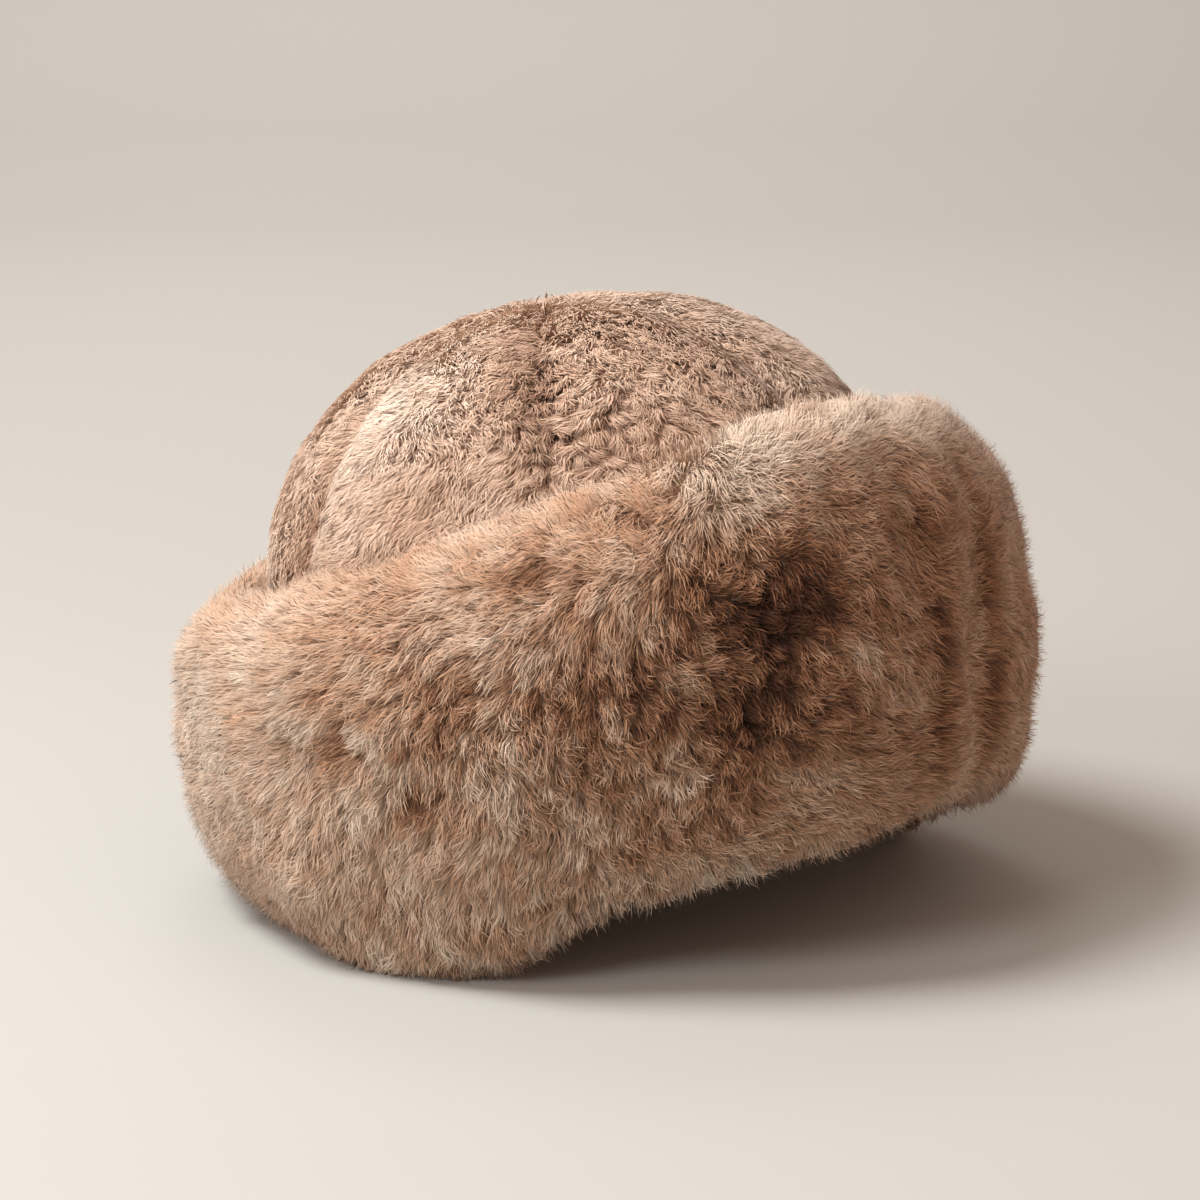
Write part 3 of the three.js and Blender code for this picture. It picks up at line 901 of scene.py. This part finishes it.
def cuff_underfur():
    """A ring shaped to the cuff's sections, a little under the tips of its fur."""
    clear_choice()
    bpy.ops.mesh.primitive_torus_add(
        major_segments=CUFF_STEPS_ROUND,
        minor_segments=CUFF_STEPS_UP,
        major_radius=CUFF_MEAN_RADIUS * MM,
        minor_radius=40 * MM,
    )
    thing = active()
    thing.name = "cuff_underfur"
    angle = np.repeat(np.arange(CUFF_STEPS_ROUND) * FULL_TURN / CUFF_STEPS_ROUND, CUFF_STEPS_UP)
    turn = np.tile(np.linspace(CUFF_LOW_TURN, UNDERFUR_HIGH_TURN, CUFF_STEPS_UP), CUFF_STEPS_ROUND)
    a, b = cuff_coat.unrolled(angle, turn)
    points = cuff_coat.point(a, b, np.full(len(angle), -UNDERFUR_DEPTH))
    points[:, 2] = np.maximum(points[:, 2], UNDERFUR_CLEARANCE)
    shaped(thing, points, cuff_tone(angle, turn, cuff_coat.on_coat(a, b)))
    bpy.ops.object.shade_smooth()
    return thing


GORE_STEPS_ROUND = 20
GORE_STEPS_UP = 36
GORE_GRID_SIZE = 100.0
GORE_TOP_TURN = 89.4
LEAST_SPREAD = 0.01
UNDERFLEECE_DEPTH = 2.6


def gore_wall(index):
    """One gore of the crown: underfleece outside, suede inside, closed at its edges."""
    clear_choice()
    bpy.ops.mesh.primitive_grid_add(
        x_subdivisions=GORE_STEPS_ROUND,
        y_subdivisions=GORE_STEPS_UP,
        size=GORE_GRID_SIZE * MM,
    )
    thing = active()
    thing.name = f"crown_wall_{index + 1}"
    place = np.array([v.co for v in thing.data.vertices]) / (GORE_GRID_SIZE / 2 * MM)
    turn = CROWN_RIM_TURN + (GORE_TOP_TURN - CROWN_RIM_TURN) * (place[:, 1] + 1) / 2
    spread = np.maximum(dome_spread(turn), LEAST_SPREAD)
    margin = np.degrees(SEAM_GAP / 2 / (spread * HEAD_LENGTH / 2))
    half = GORE_ANGLE / 2 - np.minimum(margin, GORE_ANGLE / 3)
    angle = FIRST_SEAM_ANGLE + (index + 0.5) * GORE_ANGLE + place[:, 0] * half
    tone = crown_tone(angle, turn, crown_point(angle, turn))
    shaped(thing, crown_point(angle, turn, -UNDERFLEECE_DEPTH), tone)
    wall = thing.modifiers.new("wall", "SOLIDIFY")
    wall.thickness = (CROWN_WALL - UNDERFLEECE_DEPTH) * MM
    wall.offset = -1
    wall.material_offset = 1
    wall.material_offset_rim = 0
    bpy.ops.object.modifier_apply(modifier=wall.name)
    bpy.ops.object.shade_smooth()
    return thing


cuff_base = cuff_underfur()
set_down(cuff_base, cuff_nap, ["fur_cuff"])
for gore_index in range(GORE_COUNT):
    wall_piece = gore_wall(gore_index)
    set_down(wall_piece, crown_nap, [f"crown_gore_{gore_index + 1}"])
    wall_piece.data.materials.append(suede)


# The cuff's fur

CUFF_KINDS = {
    "guard": Kind(10.5, 4.2, 0.5, 1.5, 1.1, (0.34, 0.36, 0.0), (0.0, 0.5, 1.0)),
    "down": Kind(7.0, 2.8, 0.0, 1.0, 1.0, (0.46, 0.0), (0.0, 1.0)),
}
CUFF_LOCK_SIZE = 17
CUFF_TUFT_SIZE = 6.5
CUFF_STRAYS = 0.3

# How much thinner the coat is on the hidden underside, and denser at the crest, and the
# turns that these come in and go out at
UNDERSIDE_THIN = 0.75
UNDERSIDE_FROM_TURN = 92
CREST_DENSE = 0.25
CREST_FROM_TURN = 25
CREST_OVER_TURN = 25
CREST_TO_TURN = 110
DENSITY_OVER_TURN = 20

# The parting at the crest: its angle, how far it wanders, how sharp it is, the way the
# fur leans on both sides of it, and from which turn and over how many it comes in
PARTING_ANGLE = 284.0
PARTING_WANDER = 14
PARTING_BY_TUFT = 0.8
PARTING_SHARPNESS = 4
PARTED_WAY = 112.0
PARTED_FROM_TURN = 5
PARTED_OVER_TURN = 75

# How the strands vary on smooth fur, and what rough fur adds. Veers are in radians, rises
# and sways in millimetres, and gathers and tones are shares.
CUFF_WAVER = 0.6
CUFF_LOCK_VEER = (0.3, 0.5)
CUFF_TUFT_VEER = (0.4, 0.9)
CUFF_STRAND_VEER = (0.16, 0.16)
CUFF_STRAY_VEER = 0.6
CUFF_BASE_RISE = 0.3
CUFF_LOCK_RISE = (0.4, 1.4)
CUFF_TUFT_RISE = (0.3, 1.5)
CUFF_STRAND_RISE = 0.4
CUFF_STRAY_RISE = (0.8, 3.2)
CUFF_GATHER = (0.25, 0.4)
CUFF_TUFT_GATHER = 0.3
CUFF_SWAY = (0.8, 1.4)
CUFF_STRAND_SWAY = 0.5
CUFF_WAVES = (0.6, 0.4)
CUFF_MOUND = (0.15, 0.6)
CUFF_LOOSE = 0.1
CUFF_TUFT_TONE = (0.03, 0.3)
# Painted highlight and shade: strands near a tuft's middle are made paler and those at its edge
# darker, for light on each tuft and shade in the gaps between tufts
CUFF_TUFT_PAINTED_SHADING = 0.34
CUFF_STRAND_TONE = (0.03, 0.08)
STRAY_GATHER = 0.1
STRAY_REACH = 0.5

# Lengths, and how much they vary by tuft, by place and by strand
CUFF_SHORTEST = 3.5
CUFF_LONGEST = 15
CUFF_LENGTH_BY_TUFT = 0.12
CUFF_LENGTH_BY_PLACE = 0.1
CUFF_LENGTH_BY_STRAND = 0.13
CUFF_REACH = 0.76
CUFF_RUN_SCATTER = 0.6

# Worn places keep this share of their reach and rise
WORN_REACH = (0.25, 0.75)
WORN_RISE = (0.4, 0.6)

# Tufts that stand out along the lower edge: its turn, how far they reach up from it, and
# how far they stand out
EDGE_TUFT_TURN = -88
EDGE_TUFT_REACH = 16
EDGE_TUFT_RISE = (0.6, 5.0)


def cuff_density(a, b):
    """Where the strands stand: fewer on the hidden underside, and more at the crest."""
    turn = cuff_coat.place(a, b)[1]
    hidden = fade(-turn, UNDERSIDE_FROM_TURN, DENSITY_OVER_TURN) * UNDERSIDE_THIN
    before_end = fade(-turn, -CREST_TO_TURN, DENSITY_OVER_TURN)
    crest = fade(turn, CREST_FROM_TURN, CREST_OVER_TURN) * before_end * CREST_DENSE
    return 1 - hidden + crest


def cuff_lean(angle, turn, veer, uneven):
    """The way the cuff's fur leans: round and down on its front, and at its crest up and
    out to both sides from an uneven parting."""
    upward = fade(turn, PARTED_FROM_TURN, PARTED_OVER_TURN)
    upward = upward * upward * (3 - 2 * upward)
    front_way = section_value("flow", angle)
    past_parting = np.sin(np.radians(angle - PARTING_ANGLE + PARTING_WANDER * uneven))
    sideways = np.clip(past_parting * PARTING_SHARPNESS, -1, 1)
    change = turned(PARTED_WAY * sideways, front_way)
    way = np.radians(front_way + change * upward) + veer
    return np.stack([np.sin(way), -np.cos(way)], axis=1)


def cuff_run(kind, a, b, stray, rough, spot, lock, tuft, rng):
    """How far each strand of the cuff reaches each way along the coat, and how worn it is."""
    many = len(a)
    angle, turn = cuff_coat.place(a, b)
    veer = CUFF_WAVER * noise(spot, 42, 21) + mix(CUFF_LOCK_VEER, rough) * (hashed(lock, 3) - 0.5)
    veer = veer + mix(CUFF_TUFT_VEER, rough) * (hashed(tuft, 4) - 0.5)
    own_veer = np.where(stray, CUFF_STRAY_VEER, mix(CUFF_STRAND_VEER, rough))
    veer = veer + own_veer * rng.standard_normal(many)
    uneven = noise(spot, 14, 23) + PARTING_BY_TUFT * (hashed(tuft, 24) - 0.5)
    lean = cuff_lean(angle, turn, veer, uneven)
    by_tuft = CUFF_LENGTH_BY_TUFT * (hashed(tuft, 6) - 0.5)
    length = kind.length * (1 + by_tuft + CUFF_LENGTH_BY_PLACE * noise(spot, 20, 22))
    length = length * (1 + CUFF_LENGTH_BY_STRAND * rng.standard_normal(many))
    length = np.clip(length, CUFF_SHORTEST, CUFF_LONGEST)
    worn = patches(CUFF_PATCHES, angle, turn)[1]
    reach = CUFF_REACH * np.where(stray, STRAY_REACH, 1.0) * length * mix(WORN_REACH, worn ** 2)
    return lean * reach[:, None] + CUFF_RUN_SCATTER * rng.standard_normal((many, 2)), worn


def cuff_strands(count, kind, rng):
    """The cuff's strands of one kind."""
    coat = cuff_coat
    a, b = scatter_roots(coat, count, cuff_density, rng)
    many = len(a)
    _, lock_near, lock = nearest_tuft(coat, a, b, CUFF_LOCK_SIZE, 5)
    tuft_middle, tuft_near, tuft = nearest_tuft(coat, a, b, CUFF_TUFT_SIZE, 9)
    angle, turn = coat.place(a, b)
    spot = coat.on_coat(a, b)
    stray = rng.random(many) < CUFF_STRAYS
    rough = roughness(angle, turn)
    run, worn = cuff_run(kind, a, b, stray, rough, spot, lock, tuft, rng)
    rise = CUFF_BASE_RISE + mix(CUFF_LOCK_RISE, rough) * lock_near
    rise = rise + mix(CUFF_TUFT_RISE, rough) * tuft_near
    rise = rise + np.where(stray, CUFF_STRAY_RISE[1], CUFF_STRAND_RISE) * rng.random(many)
    rise = rise + np.where(stray, CUFF_STRAY_RISE[0], 0.0)
    rise = rise * mix(WORN_RISE, worn) + kind.lift
    edge_rise = EDGE_TUFT_RISE[0] + EDGE_TUFT_RISE[1] * tuft_near * hashed(tuft, 18)
    rise = rise + bell(turn - EDGE_TUFT_TURN, EDGE_TUFT_REACH) * edge_rise
    gather = mix(CUFF_GATHER, rough) + CUFF_TUFT_GATHER * (hashed(tuft, 12) - 0.5)
    gather = np.where(stray, STRAY_GATHER, gather)
    sway = mix(CUFF_SWAY, rough) * (hashed(tuft, 17) - 0.5)
    sway = sway + CUFF_STRAND_SWAY * rng.standard_normal(many)
    curl = (sway, mix(CUFF_WAVES, rng.random(many)), hashed(tuft, 14))
    roots = Roots(coat, kind, a, b, stray, tuft_middle, CUFF_TUFT_SIZE)
    paths, outs = strand_paths(roots, run, rise, gather, curl)
    tone = cuff_tone(angle, turn, spot) + mix(CUFF_TUFT_TONE, rough) * (hashed(tuft, 16) - 0.5)
    # Painted highlight on each tuft's middle, and painted shade at its edges where the gaps between
    # tufts are
    tone = tone + CUFF_TUFT_PAINTED_SHADING * rough * (tuft_near - 0.5)
    tone = tone + mix(CUFF_STRAND_TONE, rough) * rng.standard_normal(many)
    return soft_ribbons(roots, paths, outs, mix(CUFF_MOUND, rough), CUFF_LOOSE, tone, rng)


CUFF_FUR_PIECES = 4
CUFF_FIRST_SEED = 100
CUFF_GUARD_HAIRS = 30000
CUFF_DOWN_HAIRS = 80000

for piece in range(CUFF_FUR_PIECES):
    own_rng = np.random.default_rng(CUFF_FIRST_SEED + piece)
    guard_hairs = cuff_strands(int(CUFF_GUARD_HAIRS * DENSITY), CUFF_KINDS["guard"], own_rng)
    down_hairs = cuff_strands(int(CUFF_DOWN_HAIRS * DENSITY), CUFF_KINDS["down"], own_rng)
    coat_piece = ribbon_mesh(f"cuff_fur_{piece + 1}", guard_hairs, down_hairs)
    set_down(coat_piece, cuff_fur)


# The crown's fleece

FLEECE_KINDS = {
    "guard": Kind(6.2, 2.8, 0.0, 1.5, 1.1, (0.38, 0.4, 0.0), (0.0, 0.5, 1.0)),
    "down": Kind(4.6, 2.2, 0.0, 1.0, 1.0, (0.5, 0.0), (0.0, 1.0)),
}
FLEECE_LOCK_SIZE = 13
FLEECE_TUFT_SIZE = 4.6
FLEECE_STRAYS = 0.12

# How far down behind the cuff's crest the fleece goes on
FLEECE_BELOW_CREST = 14

# Roots are drawn over the whole crown, so this many times more for one gore
GORE_SPARE_ROOTS = 7

# How the strands vary on plain fleece, and what curly fleece adds
FLEECE_WAVER = 1.0
FLEECE_LOCK_VEER = 0.8
FLEECE_TUFT_VEER = (0.8, 1.0)
FLEECE_STRAND_VEER = 0.22
FLEECE_BASE_RISE = 0.2
FLEECE_LOCK_RISE = 0.4
FLEECE_TUFT_RISE = (0.4, 1.8)
FLEECE_STRAND_RISE = 0.25
FLEECE_STRAY_RISE = 1.5
FLEECE_GATHER = (0.18, 0.5)
FLEECE_TUFT_GATHER = 0.2
FLEECE_SWAY = (0.5, 1.1)
FLEECE_LEAST_SWAY = 0.5
FLEECE_WAVES = (0.7, 0.4)
FLEECE_MOUND = (0.2, 0.8)
FLEECE_LOOSE = 0.06
FLEECE_TUFT_TONE = 0.08
# Painted highlight and shade: strands near a tuft's middle are made paler and those at its edge
# darker, most of all in the curls, for light on each tuft and shade in the gaps between them
FLEECE_TUFT_PAINTED_SHADING = (0.04, 0.36)
FLEECE_STRAND_TONE = 0.03

# Lengths, how much they vary by tuft and by strand, how much longer curls are, and how
# much shorter the fleece is at the top
FLEECE_SHORTEST = 2.5
FLEECE_LONGEST = 10
FLEECE_LENGTH_BY_TUFT = 0.2
FLEECE_LENGTH_BY_STRAND = 0.12
CURL_LENGTH = 1.2
TOP_SHORTER = 0.3
TOP_FROM_TURN = 60
TOP_OVER_TURN = 30
FLEECE_LEAST_SPREAD = 0.3
FLEECE_RUN_SCATTER = 0.4


def gore_density(index):
    """Where one gore's strands stand: on itself alone, and where the cuff leaves it bare."""
    def density(a, b):
        angle = crown_coat.place(a, b)[0]
        place = np.mod(angle - FIRST_SEAM_ANGLE, FULL_TURN)
        own = np.floor(place / GORE_ANGLE) == index
        spot = crown_coat.on_coat(a, b) - HAT_MIDDLE
        round_angle = np.degrees(np.arctan2(spot[:, 1], spot[:, 0]))
        shows = spot[:, 2] > section_value("crest", round_angle) - FLEECE_BELOW_CREST
        return own * shows * 1.0
    return density


def fleece_run(kind, a, b, curly, spot, lock, tuft, rng):
    """How far each strand of the crown reaches each way along the coat."""
    many = len(a)
    turn = crown_coat.place(a, b)[1]
    veer = FLEECE_WAVER * noise(spot, 30, 61) + FLEECE_LOCK_VEER * (hashed(lock, 3) - 0.5)
    veer = veer + mix(FLEECE_TUFT_VEER, curly) * (hashed(tuft, 4) - 0.5)
    veer = veer + FLEECE_STRAND_VEER * rng.standard_normal(many)
    by_tuft = FLEECE_LENGTH_BY_TUFT * (hashed(tuft, 6) - 0.5)
    length = kind.length * (1 + by_tuft + FLEECE_LENGTH_BY_STRAND * rng.standard_normal(many))
    length = np.clip(length + CURL_LENGTH * curly, FLEECE_SHORTEST, FLEECE_LONGEST)
    length = length * (1 - TOP_SHORTER * fade(turn, TOP_FROM_TURN, TOP_OVER_TURN))
    run = np.stack([np.sin(veer), -np.cos(veer)], axis=1) * length[:, None]
    run[:, 0] = run[:, 0] / np.maximum(dome_spread(turn), FLEECE_LEAST_SPREAD)
    return run + FLEECE_RUN_SCATTER * rng.standard_normal((many, 2))


def crown_strands(index, count, kind, rng):
    """One gore's strands of one kind."""
    coat = crown_coat
    a, b = scatter_roots(coat, count * GORE_SPARE_ROOTS, gore_density(index), rng)
    a = a[:count]
    b = b[:count]
    many = len(a)
    _, lock_near, lock = nearest_tuft(coat, a, b, FLEECE_LOCK_SIZE, 55)
    tuft_middle, tuft_near, tuft = nearest_tuft(coat, a, b, FLEECE_TUFT_SIZE, 59)
    angle, turn = coat.place(a, b)
    spot = coat.on_coat(a, b)
    curly = near_place(CURLY_PLACE, angle, turn)
    stray = rng.random(many) < FLEECE_STRAYS
    run = fleece_run(kind, a, b, curly, spot, lock, tuft, rng)
    rise = FLEECE_BASE_RISE + mix(FLEECE_TUFT_RISE, curly) * tuft_near + FLEECE_LOCK_RISE * lock_near
    rise = rise + np.where(stray, FLEECE_STRAY_RISE, FLEECE_STRAND_RISE) * rng.random(many)
    gather = mix(FLEECE_GATHER, curly) + FLEECE_TUFT_GATHER * (hashed(tuft, 12) - 0.5)
    gather = np.where(stray, STRAY_GATHER, gather)
    sway = mix(FLEECE_SWAY, curly) * (FLEECE_LEAST_SWAY + hashed(tuft, 13))
    curl = (sway, mix(FLEECE_WAVES, hashed(tuft, 15)), hashed(tuft, 14))
    roots = Roots(coat, kind, a, b, stray, tuft_middle, FLEECE_TUFT_SIZE)
    paths, outs = strand_paths(roots, run, rise, gather, curl)
    tone = crown_tone(angle, turn, spot) + FLEECE_TUFT_TONE * (hashed(tuft, 16) - 0.5)
    # Painted highlight on each tuft's middle, and painted shade at its edges where the gaps between
    # tufts are
    tone = tone + mix(FLEECE_TUFT_PAINTED_SHADING, curly) * (tuft_near - 0.5)
    tone = tone + FLEECE_STRAND_TONE * rng.standard_normal(many)
    return soft_ribbons(roots, paths, outs, mix(FLEECE_MOUND, curly), FLEECE_LOOSE, tone, rng)


GORE_FIRST_SEED = 300
GORE_GUARD_HAIRS = 7000
GORE_DOWN_HAIRS = 23000

for gore_index in range(GORE_COUNT):
    own_rng = np.random.default_rng(GORE_FIRST_SEED + gore_index)
    guard_count = int(GORE_GUARD_HAIRS * DENSITY)
    down_count = int(GORE_DOWN_HAIRS * DENSITY)
    guard_hairs = crown_strands(gore_index, guard_count, FLEECE_KINDS["guard"], own_rng)
    down_hairs = crown_strands(gore_index, down_count, FLEECE_KINDS["down"], own_rng)
    coat_piece = ribbon_mesh(f"crown_fleece_{gore_index + 1}", guard_hairs, down_hairs)
    set_down(coat_piece, crown_fur)


# Floor, light and camera

PAPER_FINISH = {
    "Base Color": (0.484, 0.485, 0.456, 1),
    "Roughness": 0.9,
    "Specular IOR Level": 0.1,
}

# The floor's section from front to back, and half its width, in metres
FLOOR_SECTION = (
    (-4.0, 0.0),
    (1.6, 0.0),
    (1.9, 0.03),
    (2.15, 0.12),
    (2.35, 0.3),
    (2.45, 0.6),
    (2.5, 3.5),
)
FLOOR_HALF_WIDTH = 5


def add_floor():
    """A pale floor that curves up into a backdrop."""
    clear_choice()
    bpy.ops.mesh.primitive_grid_add(x_subdivisions=1, y_subdivisions=len(FLOOR_SECTION) - 1, size=1)
    floor = active()
    floor.name = "pale_floor"
    points = [(side, y, z) for y, z in FLOOR_SECTION for side in (-FLOOR_HALF_WIDTH, FLOOR_HALF_WIDTH)]
    floor.data.vertices.foreach_set("co", np.array(points, np.float32).ravel())
    floor.data.update()
    floor.data.materials.append(new_material("floor_paper", PAPER_FINISH)[0])
    bpy.ops.object.shade_smooth()


# Each lamp's name, its place, what it is aimed at, and its power. All are discs of one
# size.
HAT_AIM = (0, 0, 0.1)
LAMP_SIZE = 0.8
LAMPS = (
    ("key_light", (-0.95, -0.3, 1.75), HAT_AIM, 42),
    ("front_light", (-1.2, -1.4, 1.2), HAT_AIM, 15),
    ("back_light", (-0.2, 1.0, 1.9), HAT_AIM, 5),
    ("backdrop_light", (-0.4, 1.1, 1.5), (0.2, 2.5, 0.9), 14),
)
WORLD_COLOUR = (1.0, 0.72, 0.59, 1)
WORLD_STRENGTH = 0.52


def add_light(name, place, aim, power):
    lamp = bpy.data.lights.new(name, "AREA")
    lamp.shape = "DISK"
    lamp.size = LAMP_SIZE
    lamp.energy = power
    thing = bpy.data.objects.new(name, lamp)
    thing.location = place
    way = Vector(aim) - Vector(place)
    thing.rotation_euler = way.to_track_quat("-Z", "Y").to_euler()
    bpy.context.scene.collection.objects.link(thing)


bpy.context.scene.view_settings.view_transform = "Standard"

add_floor()
for lamp_row in LAMPS:
    add_light(*lamp_row)

world = bpy.data.worlds.new("studio_air")
world.use_nodes = True
set_inputs(world.node_tree.nodes["Background"], {"Color": WORLD_COLOUR, "Strength": WORLD_STRENGTH})
bpy.context.scene.world = world

CAMERA_DISTANCE = 1.4
CAMERA_ELEVATION = 14.0
FRAME_WIDTH = 0.4255
SENSOR_WIDTH = 36.0
AIM_HEIGHT = 0.105

camera_data = bpy.data.cameras.new("camera")
camera_data.sensor_width = SENSOR_WIDTH
camera_data.lens = SENSOR_WIDTH * CAMERA_DISTANCE / FRAME_WIDTH
camera = bpy.data.objects.new("camera", camera_data)
elevation = math.radians(CAMERA_ELEVATION)
aim = Vector((HAT_MIDDLE[0] * MM, HAT_MIDDLE[1] * MM, AIM_HEIGHT))
camera.location = aim + Vector((0, -math.cos(elevation), math.sin(elevation))) * CAMERA_DISTANCE
camera.rotation_euler = (aim - camera.location).to_track_quat("-Z", "Y").to_euler()
bpy.context.scene.collection.objects.link(camera)
bpy.context.scene.camera = camera
